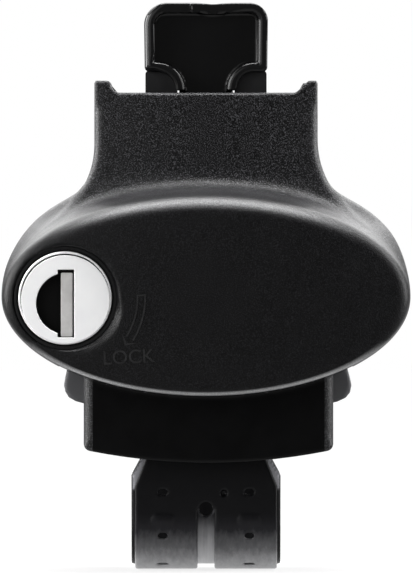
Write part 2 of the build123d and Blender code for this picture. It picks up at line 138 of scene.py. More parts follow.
def polygon(points):
    """The distance to a closed outline in the plane."""
    ring = list(zip(points, points[1:] + points[:1]))

    def distance(u, w):
        u, w = np.broadcast_arrays(np.asarray(u, float), np.asarray(w, float))
        best = np.full(u.shape, 1e12)
        odd = np.zeros(u.shape, bool)
        for (ax, az), (bx, bz) in ring:
            ex, ez = bx - ax, bz - az
            px, pz = u - ax, w - az
            t = np.clip((px * ex + pz * ez) / (ex * ex + ez * ez + 1e-12), 0.0, 1.0)
            best = np.minimum(best, (px - t * ex) ** 2 + (pz - t * ez) ** 2)
            if bz != az:
                odd ^= ((az <= w) != (bz <= w)) & (u < ax + (w - az) * ex / ez)
        return np.where(odd, -1.0, 1.0) * np.sqrt(best)

    return distance


def box_field(x, y, z, low, high):
    sides = []
    for value, a, b in zip((x, y, z), low, high):
        sides.append(np.abs(value - (a + b) / 2) - (b - a) / 2)
    return np.maximum(np.maximum(sides[0], sides[1]), sides[2])


def arc(cx, cz, r, start, turn, steps):
    angles = [math.radians(start + turn * i / steps) for i in range(steps + 1)]
    return [(cx + r * math.cos(a), cz + r * math.sin(a)) for a in angles]


# Skin of a field: one point in each grid cell that the surface crosses, drawn onto the surface

def slope(field, p, h=0.02):
    grad = np.empty_like(p)
    for i in range(3):
        lo, hi = p.copy(), p.copy()
        lo[:, i] -= h
        hi[:, i] += h
        grad[:, i] = (field(*hi.T) - field(*lo.T)) / (2 * h)
    return grad


def skin(name, field, low, high, step):
    """The smooth mesh of a form, found on a grid of a given step inside a box."""
    axes = [np.arange(a, b + step, step) for a, b in zip(low, high)]
    n = [len(a) for a in axes]
    value = field(axes[0][:, None, None], axes[1][None, :, None], axes[2][None, None, :])
    value = np.broadcast_to(value, n)
    cells = np.array([m - 1 for m in n])
    total = np.zeros((int(np.prod(cells)), 3))
    hits = np.zeros(len(total))
    quads = []
    for axis in range(3):
        first = [slice(None)] * 3
        second = [slice(None)] * 3
        first[axis] = slice(0, -1)
        second[axis] = slice(1, None)
        a, b = value[tuple(first)], value[tuple(second)]
        where = np.argwhere((a < 0) != (b < 0))
        va, vb = a[tuple(where.T)], b[tuple(where.T)]
        point = where.astype(float)
        point[:, axis] += va / (va - vb)
        u, w = [i for i in range(3) if i != axis]
        around = []
        for du, dw in ((-1, -1), (0, -1), (0, 0), (-1, 0)):
            cell = where.copy()
            cell[:, u] += du
            cell[:, w] += dw
            good = np.all((cell >= 0) & (cell < cells), axis=1)
            index = (cell[:, 0] * cells[1] + cell[:, 1]) * cells[2] + cell[:, 2]
            np.add.at(total, index[good], point[good])
            np.add.at(hits, index[good], 1)
            around.append(np.where(good, index, -1))
        quad = np.stack(around, 1)
        flip = (va < 0) == (axis == 1)
        quad[flip] = quad[flip][:, ::-1]
        quads.append(quad[np.all(quad >= 0, axis=1)])
    used = hits > 0
    order = np.cumsum(used) - 1
    points = total[used] / hits[used][:, None] * step + np.array([a[0] for a in axes])
    for _ in range(3):
        grad = slope(field, points)
        size = np.maximum((grad ** 2).sum(1), 0.05)
        move = -field(*points.T)[:, None] * grad / size[:, None]
        points = points + np.clip(move, -0.5 * step, 0.5 * step)
    faces = order[np.concatenate(quads)]
    mesh = bpy.data.meshes.new(name)
    mesh.from_pydata((points * MM).tolist(), [], faces.tolist())
    mesh.validate()
    mesh.shade_smooth()
    piece = bpy.data.objects.new(name, mesh)
    bpy.context.scene.collection.objects.link(piece)
    return piece


def read(items, what):
    values = np.empty(len(items) * 3)
    items.foreach_get(what, values)
    return values.reshape(-1, 3).T


def corners(piece):
    return read(piece.data.vertices, "co") / MM


def facings(piece):
    return read(piece.data.vertices, "normal")


def face_middles(piece):
    return read(piece.data.polygons, "center") / MM


def mark_share(piece, name, value):
    """Keeps a share from 0 to 1 at each point, for the finish to read."""
    piece.data.attributes.new(name, "FLOAT", "POINT").data.foreach_set("value", value)


# Front cover

def collar_points():
    """Collar with its two ears, flared into the oval, which hides its lower part."""
    foot = [(FLARE_FOOT, 34.0), (FLARE_FOOT, OVAL_Z)]
    right_ear = [(18.0, COLLAR_TOP), (18.9, 63.4), (19.4, 64.5), (20.0, 64.5)]
    right_ear += [(20.6, EAR_TOP), (COLLAR_HALF, EAR_TOP)]
    right = arc(COLLAR_HALF + 18.0, 53.2, 18.0, 180, FLARE_TURN, 10) + foot
    left = arc(COLLAR_HALF + 17.0, 52.2, 17.0, 180, FLARE_TURN, 10) + foot
    left = [(-x, z) for x, z in reversed(left)]
    left_ear = [(-COLLAR_HALF, EAR_TOP), (-19.6, EAR_TOP), (-19.1, 64.6)]
    left_ear += [(-18.8, 63.6), (-18.4, 63.0), (-17.6, COLLAR_TOP)]
    return right_ear + right + left + left_ear


def skirt_points():
    """The skirt's outline, drawn in by the round of its corners."""
    half = SKIRT_HALF - SKIRT_ROUND
    r = (half ** 2 + SKIRT_SAG ** 2) / (2 * SKIRT_SAG)
    spread = math.degrees(math.asin(half / r))
    ends = [(SKIRT_X + half, SKIRT_TOP), (SKIRT_X - half, SKIRT_TOP)]
    return arc(SKIRT_X, SKIRT_LOW + SKIRT_ROUND + r, r, 270 - spread, 2 * spread, 24) + ends


collar_plan = polygon(collar_points())
skirt_plan = polygon(skirt_points())


def oval(x, dz, half, rise, drop, power):
    """The distance to an oval that is fuller above its middle, by a power, than below."""
    up = dz > 0
    n = np.where(up, power, OVAL_LOW_POWER)
    reach = np.where(up, rise, drop)
    u = np.abs(x) / half + 1e-9
    w = np.abs(dz) / reach + 1e-9
    k = (u ** n + w ** n) ** (1 / n)
    grad = np.sqrt((u ** (n - 1) / half) ** 2 + (w ** (n - 1) / reach) ** 2) * k ** (1 - n)
    return (k - 1) / grad


def body_plan(x, z):
    """The cover's outline: the collar, spread into two shoulders."""
    lean = SHOULDER_LEAN * fade(z, 26.0, 36.0)
    shoulders = oval(x - lean, z - OVAL_Z, OVAL_HALF, SHOULDER_RISE, OVAL_Z - OVAL_LOW, SHOULDER_POWER)
    return soft_min(collar_plan(x, z), shoulders, BODY_BLEND)


def boss_side(x, y, z):
    """The side of the oval boss, which narrows towards its face."""
    t = np.clip((BODY_FRONT - y) / (BODY_FRONT - FACE_Y), 0.0, 1.0)
    half = OVAL_HALF + (FACE_HALF - OVAL_HALF) * t * t
    rise = BOSS_RISE + (FACE_RISE - BOSS_RISE) * t
    drop = OVAL_Z - OVAL_LOW + (FACE_DROP - OVAL_Z + OVAL_LOW) * t * t
    return oval(x, z - OVAL_Z, half, rise, drop, 2.0)


def cover_form(x, y, z):
    """The cover's outside, open-ended at the back."""
    bow = np.minimum(x * x, COLLAR_HALF ** 2) / COLLAR_BOW
    plan = body_plan(x, z)
    edge = BODY_ROUND - (BODY_ROUND - TOP_ROUND) * fade(z, 59.0, 61.5)
    body = round_max(plan, BODY_FRONT - y + bow, edge)
    slant = 0.94 * plan - 0.35 * (y - BODY_FRONT) + SHOULDER_SLANT * (1 - fade(z, 36.0, 45.0))
    body = soft_max(body, slant, 1.5)
    dome = np.sqrt(x * x + (y - FACE_Y - FACE_R) ** 2 + (z - OVAL_Z) ** 2) - FACE_R
    ends = 1 - 0.6 * fade(np.abs(x), 26.0, 38.0)
    crease = LIP_ROUND + (CREASE_ROUND - LIP_ROUND) * ends * fade(z, OVAL_Z - 14.0, OVAL_Z)
    boss = round_max(boss_side(x, y, z), dome, crease)
    return soft_min(body, boss, 3.0 + 2.5 * fade(z, 30.0, 38.0))


def lock_axis(x, z):
    return np.sqrt((x - LOCK_X) ** 2 + (z - LOCK_Z) ** 2)


def cover_field(x, y, z):
    form = cover_form(x, y, z)
    skirt_edge = 0.5 + 1.3 * fade(z, SKIRT_LOW + 2.0, SKIRT_LOW + 6.0)
    skirt = round_max(skirt_plan(x, z) - SKIRT_ROUND, SKIRT_FRONT - y, skirt_edge)
    skirt_shell = np.maximum(np.maximum(skirt, -(skirt + COVER_WALL)), y - SKIRT_BACK)
    shell = np.maximum(form, -(form + COVER_WALL))
    shell = np.minimum(shell, np.maximum(skirt_shell, -(form + COVER_WALL)))
    radius = lock_axis(x, z)
    mount = np.maximum(np.maximum(radius - MOUNT_R, y - MOUNT_BACK), form)
    shell = np.minimum(shell, mount)
    shell = np.maximum(shell, y - COVER_BACK)
    toward = (SEAT_DIP[0] * (x - LOCK_X) + SEAT_DIP[1] * (z - LOCK_Z)) / np.maximum(radius, 1.0)
    reach = 0.6 + 1.3 * fade(toward, 0.5, 0.9)
    sunk = (FACE_Y + 0.2 - y) + SEAT_DEPTH * np.clip((SEAT_R + reach - radius) / reach, 0.0, 1.0)
    shell = soft_max(shell, sunk, 0.5)
    shell = np.maximum(shell, -np.maximum(radius - BORE_R, y - BORE_BACK))
    shell = np.maximum(shell, -np.maximum(radius - BARREL_BORE_R, y + 31.0))
    for low, high in COVER_CUTS:
        shell = np.maximum(shell, -box_field(x, y, z, low, high))
    return shell


# Bar tongue: a pressed pan with a rolled rim

TONGUE_HALF = 12.3
TONGUE_TOP = 80.6
TONGUE_LOW = 67.6
NECK_HALF = 5.4
NECK_LOW = 43.0
TONGUE_WALL = 1.25
TONGUE_FRONT = -12.0
TONGUE_BACK = 12.0
HEAD_EDGE = 2.6
HEAD_LAP = 0.75
HEAD_REACH = 4.4
PANEL_Y = -8.9
PANEL_HALF = 3.1
DIP_X = 1.4
SEAM_X = -3.0
TONGUE_PIN = (1.0, 50.0)
TONGUE_PIN_R = 2.5


def tongue_points():
    shoulder = TONGUE_HALF - NECK_HALF - HEAD_EDGE
    right = [(NECK_HALF, NECK_LOW)]
    right += arc(NECK_HALF + shoulder, TONGUE_LOW - shoulder, shoulder, 180, -90, 14)
    right += arc(TONGUE_HALF - 1.0, TONGUE_LOW + 0.3, 0.3, 270, 90, 4)
    left = right + arc(TONGUE_HALF - 4.2, TONGUE_TOP - 4.2, 3.6, 0, 90, 14)
    right += arc(TONGUE_HALF - 3.4, TONGUE_TOP - 3.4, 2.8, 0, 90, 14)
    dip = []
    for x in range(6, -4, -1):
        sag = 0.3 * math.exp(-((x - DIP_X) / 2.0) ** 2)
        dip.append((x, TONGUE_TOP - 0.6 - sag))
    return right + dip + [(-x, z) for x, z in reversed(left)]


tongue_plan = polygon(tongue_points())


def tongue_field(x, y, z):
    """The head's rim stands in front of the seat rails and laps over them."""
    plan = tongue_plan(x, z)
    lap = HEAD_LAP * fade(-y, 14.3, 14.6)
    front = TONGUE_FRONT - HEAD_REACH * fade(z, 62.9, 63.1)
    outer = round_max(plan - lap, front - y, 0.35 + 0.85 * fade(-x, 8.0, 11.0))
    lit = np.maximum(fade(x, 4.0, 9.0), 1 - fade(z, 68.5, 71.0))
    wall = round_max(outer, -(plan + TONGUE_WALL), 0.1 + 0.7 * lit)
    panel = np.maximum(plan + 0.3, np.abs(y - PANEL_Y) - PANEL_HALF)
    pan = np.maximum(soft_min(wall, panel, 0.5), np.maximum(plan - lap, y - TONGUE_BACK))
    across = np.maximum(np.abs(plan + 0.3) - 0.75, np.abs(y + 16.2) - 0.55)
    seam = np.maximum(np.abs(x - SEAM_X) - 0.15, across)
    pan = soft_min(pan, seam, 0.3)
    hole = np.sqrt((y - TONGUE_PIN[0]) ** 2 + (z - TONGUE_PIN[1]) ** 2) - TONGUE_PIN_R
    return np.maximum(pan, -hole)


# Lock: a round face on a barrel, with a key slot beside a hollow

LOCK_R = 9.3
LOCK_DISC_T = 2.4
GROOVE_R = 9.0
LOCK_BARREL_R = 6.0
LOCK_BACK = -18.6
CAM_SCREW_R = 2.0
CAM_SCREW_END = -25.7
KEY_X = LOCK_X + 0.16
KEY_Z = LOCK_Z - 1.1
KEY_HALF = 1.65
KEY_HALF_HEIGHT = 6.75
KEY_DEPTH = 1.2
HOLLOW_R = 6.15
HOLLOW_DEPTH = 2.0


def lock_field(x, y, z):
    radius = lock_axis(x, z)
    disc = np.maximum(round_max(radius - LOCK_R, LOCK_Y - y, 0.35), y - LOCK_Y - LOCK_DISC_T)
    ring = np.sqrt((x - LOCK_X - 0.1) ** 2 + (z - LOCK_Z + 0.32) ** 2) - GROOVE_R
    groove = np.maximum(np.abs(ring) - 0.14, np.abs(y - LOCK_Y) - 0.2)
    slot = np.maximum(np.abs(x - KEY_X) - KEY_HALF, np.abs(z - KEY_Z) - KEY_HALF_HEIGHT)
    slot = np.maximum(slot, y - LOCK_Y - KEY_DEPTH)
    hollow = np.maximum(np.sqrt((x - KEY_X - 0.2) ** 2 + (z - KEY_Z) ** 2) - HOLLOW_R, x - KEY_X)
    hollow = np.maximum(hollow, y - LOCK_Y - HOLLOW_DEPTH)
    disc = np.maximum(disc, -groove)
    disc = round_max(disc, -np.minimum(slot, hollow), 0.12)
    barrel = np.maximum(radius - LOCK_BARREL_R, np.maximum(y - LOCK_BACK, LOCK_Y + 2.0 - y))
    screw = np.maximum(radius - CAM_SCREW_R, CAM_SCREW_END - y)
    return np.maximum(np.minimum(disc, barrel), -screw)


def shutter_field(x, y, z):
    """The plate behind the key slot."""
    side = round_max(np.abs(x - KEY_X - 0.2) - 1.2, np.abs(z - KEY_Z + 0.25) - 6.4, 0.3)
    return round_max(side, np.abs(y - LOCK_Y - 0.85) - 0.35, 0.15)


# Strap: a steel loop round the rail, with a dark jacket on its outside

RAIL_HALF = 16.0
RAIL_HEIGHT = 30.6
BAND_T = 1.6
JACKET_T = 1.0
BEND_R = 7.0
STRAP_HALF = 15.0
JACKET_HALF = 14.3
JACKET_TOP = -8.0
TAB_HALF = 5.3
EYE_R = 4.2
PIN_R = 2.5
FRONT_EYE = (-20.2, 14.0)
REAR_EYE = (20.2, 8.0)
GROOVE_HALF = 1.7
GROOVE_TOP = -21.0
SLOT_X = 8.7
SLOT_HEIGHTS = (-17.6, -26.4)
STUD_Z = -23.2
DIMPLE = (3.6, -17.8)
DIMPLE_R = 0.7
ROUND_HOLE_R = 1.4


def u_field(y, z, depth):
    """A filled U, open at the top, that stands off the rail's space by a depth."""
    r = BEND_R + depth
    qy = np.abs(y) - (RAIL_HALF + depth - r)
    qz = (r - RAIL_HEIGHT - depth) - z
    outside = np.sqrt(np.maximum(qy, 0.0) ** 2 + np.maximum(qz, 0.0) ** 2)
    return outside + np.minimum(np.maximum(qy, qz), 0.0) - r


def strap_width(half, start, taper):
    """The strap seen from the front, tapered above a start height to a tab."""
    tab_low = start + (half - TAB_HALF) / taper
    right = [(half, -40.0), (half, start), (TAB_HALF, tab_low), (TAB_HALF, 30.0)]
    return polygon(right + [(-x, z) for x, z in reversed(right)])


loop_plan = strap_width(STRAP_HALF, -14.2, 0.54)
jacket_plan = strap_width(JACKET_HALF, -16.4, 0.4)


def stadium(u, w, length, height):
    return np.sqrt(np.maximum(np.abs(u) - (length - height) / 2, 0.0) ** 2 + w ** 2) - height / 2


def strap_openings(x, y, z):
    """The round hole above the groove, two rows of slots on the front and one on the bend."""
    side = np.abs(x) - SLOT_X
    holes = np.sqrt(x * x + (z - GROOVE_TOP) ** 2) - ROUND_HOLE_R
    for height in SLOT_HEIGHTS:
        holes = np.minimum(holes, stadium(side, z - height, 2.0, 1.2))
    front = np.maximum(holes, y + RAIL_HALF - 1.0)
    low = BEND_R - RAIL_HEIGHT - z
    near = BEND_R - RAIL_HALF - y
    along = (np.arctan2(low, near) - math.radians(65.0)) * np.sqrt(low * low + near * near)
    bend = np.maximum(stadium(side, along, 2.4, 1.4), -np.minimum(low, near))
    return np.minimum(front, bend)


def loop_field(x, y, z):
    legs = np.maximum(u_field(y, z, BAND_T), np.where(y < 0, z - FRONT_EYE[1], z - REAR_EYE[1]))
    hole = 1e9
    for eye_y, eye_z in (FRONT_EYE, REAR_EYE):
        radius = np.sqrt((y - eye_y) ** 2 + (z - eye_z) ** 2)
        legs = np.minimum(legs, radius - EYE_R)
        hole = np.minimum(hole, radius - PIN_R)
    section = np.maximum(np.maximum(legs, -u_field(y, z, 0.0)), -hole)
    return np.maximum(round_max(section, loop_plan(x, z), 0.4), -strap_openings(x, y, z))


def jacket_field(x, y, z):
    depth = BAND_T + JACKET_T
    outer = u_field(y, z, depth)
    stud = stadium(np.abs(x) - SLOT_X, z - STUD_Z, 4.8, 2.4) / 1.2
    proud = np.maximum(-stud, 0.0)
    outer = outer - 0.3 * np.sqrt(np.minimum(proud, 1.0)) * (y < 0)
    groove = np.maximum(np.abs(x) - GROOVE_HALF, z - GROOVE_TOP)
    plan = round_max(jacket_plan(x, z), -groove, 0.5)
    form = round_max(outer, plan, 0.45)
    form = np.maximum(np.maximum(form, -u_field(y, z, BAND_T + 0.02)), z - JACKET_TOP)
    away = (x - DIMPLE[0]) ** 2 + (z - DIMPLE[1]) ** 2 + (y + RAIL_HALF + depth) ** 2
    dimple = np.sqrt(away) - DIMPLE_R
    return np.maximum(form, -np.minimum(strap_openings(x, y, z), dimple))


# Rail pad: a rubber tray with drooping ends and ribs across its underside

PAD_TOP = 7.45
PAD_FLOOR = 3.5
PAD_HALF_DEPTH = 14.8
PAD_POCKET = 23.0
RIB_PITCH = 3.2
RIB_HALF_GAP = 0.5
RIB_DEPTH = 0.6
RIB_HALF = 22.0


def pad_points():
    right = [(24.0, 0.0), (26.4, 0.5), (28.1, 1.3), (29.0, 2.4), (29.3, 3.9), (28.9, 5.6), (28.4, PAD_TOP)]
    left = [(24.0, 0.0), (26.2, 0.6), (27.6, 1.4), (28.3, 2.5), (28.6, 3.9), (28.3, 5.6), (27.9, PAD_TOP)]
    return right + [(-x, z) for x, z in reversed(left)]


pad_plan = polygon(pad_points())


def pad_field(x, y, z):
    pad = round_max(pad_plan(x, z), np.abs(y) - PAD_HALF_DEPTH, 0.5)
    pocket = np.maximum(np.abs(x) - PAD_POCKET, PAD_FLOOR - z)
    gap = np.abs(np.mod(y, RIB_PITCH) - RIB_PITCH / 2) - RIB_HALF_GAP
    ribs = np.maximum(np.maximum(gap, z - RIB_DEPTH), np.abs(x) - RIB_HALF)
    return np.maximum(pad, -np.minimum(pocket, ribs))


# Screws at the back: round heads with a cross recess

SCREW_HEIGHTS = (33.0, 53.0)
SCREW_END = 28.0
SCREW_HEAD_T = 2.6
SCREW_HEAD_R = 3.75
SCREW_R = 2.0
SCREW_START = 14.1
RECESS_HALF = 0.5
RECESS_REACH = 2.2


def screw_field(x, y, z):
    away = np.minimum(np.abs(z - SCREW_HEIGHTS[0]), np.abs(z - SCREW_HEIGHTS[1]))
    radius = np.sqrt(x * x + away * away)
    seat = SCREW_END - SCREW_HEAD_T
    head = np.maximum(round_max(radius - SCREW_HEAD_R, y - SCREW_END, 0.7), seat - y)
    upright = np.maximum(np.abs(x) - RECESS_HALF, away - RECESS_REACH)
    across = np.maximum(away - RECESS_HALF, np.abs(x) - RECESS_REACH)
    recess = np.maximum(np.minimum(upright, across), seat + 1.0 - y)
    shank = np.maximum(radius - SCREW_R, np.maximum(y - seat - 0.2, SCREW_START - y))
    return np.minimum(round_max(head, -recess, 0.15), shank)


# Pieces, each on its body

cover = skin("cover_shell", cover_field, (-42.39, -41.0, -13.0), (42.39, 3.4, 66.4), 0.54)
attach(cover, "cover")
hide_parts("front_cover")
# Painted highlight: a lighter base colour along the oval's upper crease and on the collar's side edges,
# where light catches their rounding
x, y, z = corners(cover)
side = boss_side(x, y, z)
crease = np.exp(-((side + 0.95) / 0.7) ** 2) * fade(z, OVAL_Z, OVAL_Z + 8.0) * fade(-y, 34.0, 37.0)
sideways = np.abs(facings(cover)[0])
edge = fade(sideways, 0.5, 0.8) * (1 - fade(sideways, 0.95, 0.99))
edge = edge * fade(z, 34.0, 40.0) * (1 - fade(y, -24.0, -22.0))
painted_highlight = np.maximum(0.22 * crease * (1 - fade(np.abs(x), 16.0, 32.0)), 0.16 * edge)
mark_share(cover, "painted_highlight", painted_highlight)

tongue = skin("tongue_pan", tongue_field, (-14.0, -17.2, 42.2), (14.0, 12.8, 82.2), 0.32)
tongue.data.set_sharp_from_angle(angle=math.radians(40.0))
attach(tongue, "tongue")
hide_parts("bar_tongue")

lock = skin("lock_plug", lock_field, (-38.0, -38.8, 11.4), (-18.2, -18.0, 31.4), 0.16)
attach(lock, "lock")
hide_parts("lock_core")

loop = skin("strap_loop", loop_field, (-15.8, -25.2, -33.0), (15.8, 25.2, 19.2), 0.4)
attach(loop, "strap")
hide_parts("strap_band")
x, y, z = corners(loop)
# The loop is darker along its edges, on its inside, and on its side strips below its bare upper part
rim = fade(loop_plan(x, z), -0.6, -0.25)
inside = 1 - fade(u_field(y, z, 0.0), 0.3, 0.8)
strips = fade(np.abs(x), JACKET_HALF - 0.3, JACKET_HALF) * (1 - fade(z, -17.6, -16.6))
mark_share(loop, "darkened", np.maximum(np.maximum(rim, inside), strips))
mark_share(loop, "bare", fade(z, -17.6, -16.6) * (1 - fade(z, JACKET_TOP, JACKET_TOP + 1.0)))

jacket = skin("strap_jacket", jacket_field, (-14.6, -19.6, -34.0), (14.6, 19.4, -7.2), 0.3)
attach(jacket, "strap")
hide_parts("strap_cover")

pad = skin("pad_tray", pad_field, (-30.0, -15.5, -1.0), (30.0, 15.5, 8.5), 0.45)
pad.data.set_sharp_from_angle(angle=math.radians(50.0))
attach(pad, "foot")
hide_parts("rail_pad")

screws = skin("rear_screws", screw_field, (-4.6, 13.4, 28.2), (4.6, 28.8, 57.8), 0.2)
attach(screws, "foot")
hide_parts("rear_cover_screws")

shutter = skin("key_shutter", shutter_field, (-29.6, -38.2, 13.0), (-26.0, -36.6, 27.0), 0.1)
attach(shutter, "lock")


# Marks raised on the oval: an arrow round the lock and a word for which way it turns

MARK_HEIGHT = 0.12
ARROW_R = 15.2
ARROW_HALF = 0.75
ARROW_TURN = (2.0, -32.0)
HEAD_TURN = -38.5
LINE_HALF = 0.16
BAR_HALF = 0.9
WORD_SIZE = 3.9
WORD_AT = (-20.6, 8.1)
WORD_TURN = 3.0


def on_face(x, z):
    return FACE_Y + FACE_R - np.sqrt(FACE_R ** 2 - x * x - (z - OVAL_Z) ** 2)


def raised(name, flat):
    """Lays a flat mesh, drawn in X and Y, on the oval's face and gives it a raised edge."""
    solid = flat.modifiers.new("raise", "SOLIDIFY")
    solid.thickness = 2 * MARK_HEIGHT * MM
    solid.offset = 0.0
    x, z, _ = corners(flat)
    laid = np.stack([x, on_face(x, z), z], 1) * MM
    flat.data.vertices.foreach_set("co", laid.ravel())
    flat.data.update()
    flat.name = name
    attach(flat, "cover")
    return flat


def strip_mesh(name, left, right):
    """A flat ribbon between two lines of points in X and Y, in millimetres."""
    points = [(x * MM, z * MM, 0.0) for x, z in left + right]
    n = len(left)
    faces = [(i, i + 1, n + i + 1, n + i) for i in range(n - 1)]
    mesh = bpy.data.meshes.new(name)
    mesh.from_pydata(points, [], faces)
    piece = bpy.data.objects.new(name, mesh)
    bpy.context.scene.collection.objects.link(piece)
    return piece


def round_lock(r, turn):
    """The point at a radius and an angle about the lock."""
    return (LOCK_X + r * math.cos(turn), LOCK_Z + r * math.sin(turn))


def arrow():
    """The outline of a curved arrow: two thin lines, a bar at their end and a head."""
    steps = 24
    sweep = ARROW_TURN[1] - ARROW_TURN[0]
    turns = [math.radians(ARROW_TURN[0] + sweep * i / steps) for i in range(steps + 1)]
    start, end = turns[0], turns[-1]
    tip = math.radians(HEAD_TURN)
    lines = {}
    for name, r in (("arrow_inner", ARROW_R - ARROW_HALF), ("arrow_outer", ARROW_R + ARROW_HALF)):
        lines[name] = [[round_lock(r + d, a) for a in turns] for d in (LINE_HALF, -LINE_HALF)]
    low, high = ARROW_R - BAR_HALF, ARROW_R + BAR_HALF
    lines["arrow_end"] = [[round_lock(low, a), round_lock(high, a)] for a in (start + 0.012, start - 0.012)]
    outer = [(ARROW_R - 1.8, end), (ARROW_R, tip), (ARROW_R + 1.8, end)]
    inner = [(ARROW_R - 1.2, end - 0.02), (ARROW_R, tip + 0.035), (ARROW_R + 1.2, end - 0.02)]
    lines["arrow_head"] = [[round_lock(*spot) for spot in row] for row in (outer, inner)]
    return [raised(name, strip_mesh(name, *sides)) for name, sides in lines.items()]


def word():
    data = bpy.data.curves.new("turn_word", "FONT")
    data.body = "LOCK"
    data.size = WORD_SIZE * MM
    text = bpy.data.objects.new("turn_word", data)
    bpy.context.scene.collection.objects.link(text)
    bpy.context.view_layer.update()
    flat = bpy.data.meshes.new_from_object(text)
    bpy.data.objects.remove(text)
    shift = Matrix.Translation((WORD_AT[0] * MM, WORD_AT[1] * MM, 0.0))
    flat.transform(shift @ Matrix.Rotation(math.radians(WORD_TURN), 4, "Z"))
    piece = bpy.data.objects.new("turn_word", flat)
    bpy.context.scene.collection.objects.link(piece)
    return raised("turn_word", piece)


marks = arrow() + [word()]


# Materials

def new_material(name):
    material = bpy.data.materials.new(name)
    material.use_nodes = True
    tree = material.node_tree
    shader = tree.nodes["Principled BSDF"]
    return material, tree, shader


def place(tree):
    return tree.nodes.new("ShaderNodeTexCoord").outputs["Object"]


def noise(tree, where, scale, detail=2.0, rough=0.5):
    node = tree.nodes.new("ShaderNodeTexNoise")
    node.inputs["Scale"].default_value = scale
    node.inputs["Detail"].default_value = detail
    node.inputs["Roughness"].default_value = rough
    tree.links.new(where, node.inputs["Vector"])
    return node.outputs["Fac"]


def remap(tree, value, low, high, to_low, to_high):
    node = tree.nodes.new("ShaderNodeMapRange")
    for key, number in (("From Min", low), ("From Max", high), ("To Min", to_low), ("To Max", to_high)):
        node.inputs[key].default_value = number
    tree.links.new(value, node.inputs["Value"])
    return node.outputs["Result"]


def ramp(tree, value, stops):
    node = tree.nodes.new("ShaderNodeValToRGB")
    elements = node.color_ramp.elements
    while len(elements) < len(stops):
        elements.new(0.5)
    for element, (spot, colour) in zip(elements, stops):
        element.position = spot
        element.color = (*colour, 1.0)
    tree.links.new(value, node.inputs["Fac"])
    return node.outputs["Color"]


def share_of(tree, name):
    node = tree.nodes.new("ShaderNodeAttribute")
    node.attribute_name = name
    return node.outputs["Fac"]


def math_node(tree, operation, *values):
    """A sum on numbers and on what other nodes give."""
    node = tree.nodes.new("ShaderNodeMath")
    node.operation = operation
    for socket, value in zip(node.inputs, values):
        if isinstance(value, float):
            socket.default_value = value
        else:
            tree.links.new(value, socket)
    return node.outputs[0]


def axes_of(tree, vector):
    node = tree.nodes.new("ShaderNodeSeparateXYZ")
    tree.links.new(vector, node.inputs[0])
    return node.outputs


def scaled(tree, vector, scale, shift=(0.0, 0.0, 0.0)):
    node = tree.nodes.new("ShaderNodeMapping")
    node.inputs["Location"].default_value = shift
    node.inputs["Scale"].default_value = scale
    tree.links.new(vector, node.inputs["Vector"])
    return node.outputs[0]


def length_of(tree, vector):
    node = tree.nodes.new("ShaderNodeVectorMath")
    node.operation = "LENGTH"
    tree.links.new(vector, node.inputs[0])
    return node.outputs["Value"]


def mix_colour(tree, share, first, second):
    node = tree.nodes.new("ShaderNodeMix")
    node.data_type = "RGBA"
    tree.links.new(share, node.inputs["Factor"])
    tree.links.new(first, node.inputs["A"])
    tree.links.new(second, node.inputs["B"])
    return node.outputs["Result"]


def bump(tree, shader, height, strength, distance):
    node = tree.nodes.new("ShaderNodeBump")
    node.inputs["Strength"].default_value = strength
    node.inputs["Distance"].default_value = distance
    tree.links.new(height, node.inputs["Height"])
    tree.links.new(node.outputs["Normal"], shader.inputs["Normal"])


def simple(name, dark, light, rough, grain, bump_size, specular=0.5, metal=0.0):
    """A finish with a little variation in colour and gloss, and a fine grain."""
    material, tree, shader = new_material(name)
    where = place(tree)
    tone = noise(tree, where, grain * 0.12, 4.0, 0.6)
    tree.links.new(ramp(tree, tone, [(0.3, dark), (0.7, light)]), shader.inputs["Base Color"])
    tree.links.new(remap(tree, tone, 0.3, 0.7, rough[0], rough[1]), shader.inputs["Roughness"])
    shader.inputs["Metallic"].default_value = metal
    shader.inputs["Specular IOR Level"].default_value = specular
    bump(tree, shader, noise(tree, where, grain, 3.0, 0.6), 0.35, bump_size)
    return material


GRAIN_TONES = [
    (0.0, (0.0006, 0.0006, 0.0007)),
    (0.33, (0.001, 0.001, 0.0012)),
    (0.6, (0.011, 0.011, 0.0122)),
    (1.0, (0.062, 0.062, 0.067)),
]
# Light tones that paint the highlight along the crease, the lip and the collar's edges
PAINTED_HIGHLIGHT_TONES = [(0.0, (0.3, 0.3, 0.305)), (1.0, (0.85, 0.85, 0.86))]


